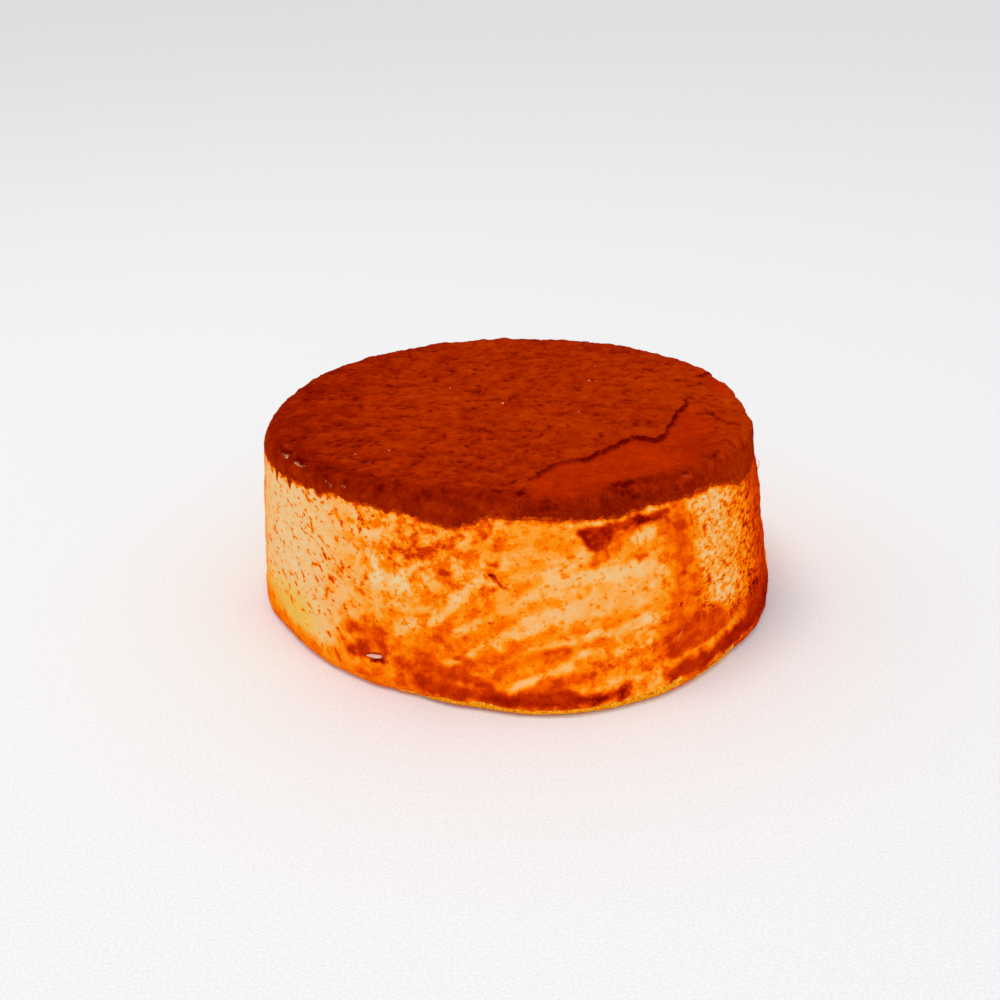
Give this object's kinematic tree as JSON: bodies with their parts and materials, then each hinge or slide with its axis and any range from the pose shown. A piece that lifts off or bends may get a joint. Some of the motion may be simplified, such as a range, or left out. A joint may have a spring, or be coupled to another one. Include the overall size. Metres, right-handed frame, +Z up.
{
  "type": "tiramisu dessert",
  "caption": "Small round tiramisu: a low drum of pale mascarpone cream on a thin sponge base, under a craggy crust of cocoa powder with a broken patch.",
  "frame": {"origin": "middle of the flat face that the cake rests on", "axes": "+Z up, -Y towards the side with the deepest smears, +X to the right as seen from there"},
  "size_m": [0.0907, 0.0895, 0.0354],
  "materials": {
    "cocoa": "dry matt cocoa powder, red-brown, with fine dark pits",
    "cream": "soft satin mascarpone cream, pale yellow, smeared and freckled with cocoa",
    "sponge": "moist golden sponge with a crumbly edge"
  },
  "bodies": {
    "root": {"cocoa_crust": "cocoa", "cream_body": "cream", "sponge_base": "sponge"}
  },
  "joints": []
}
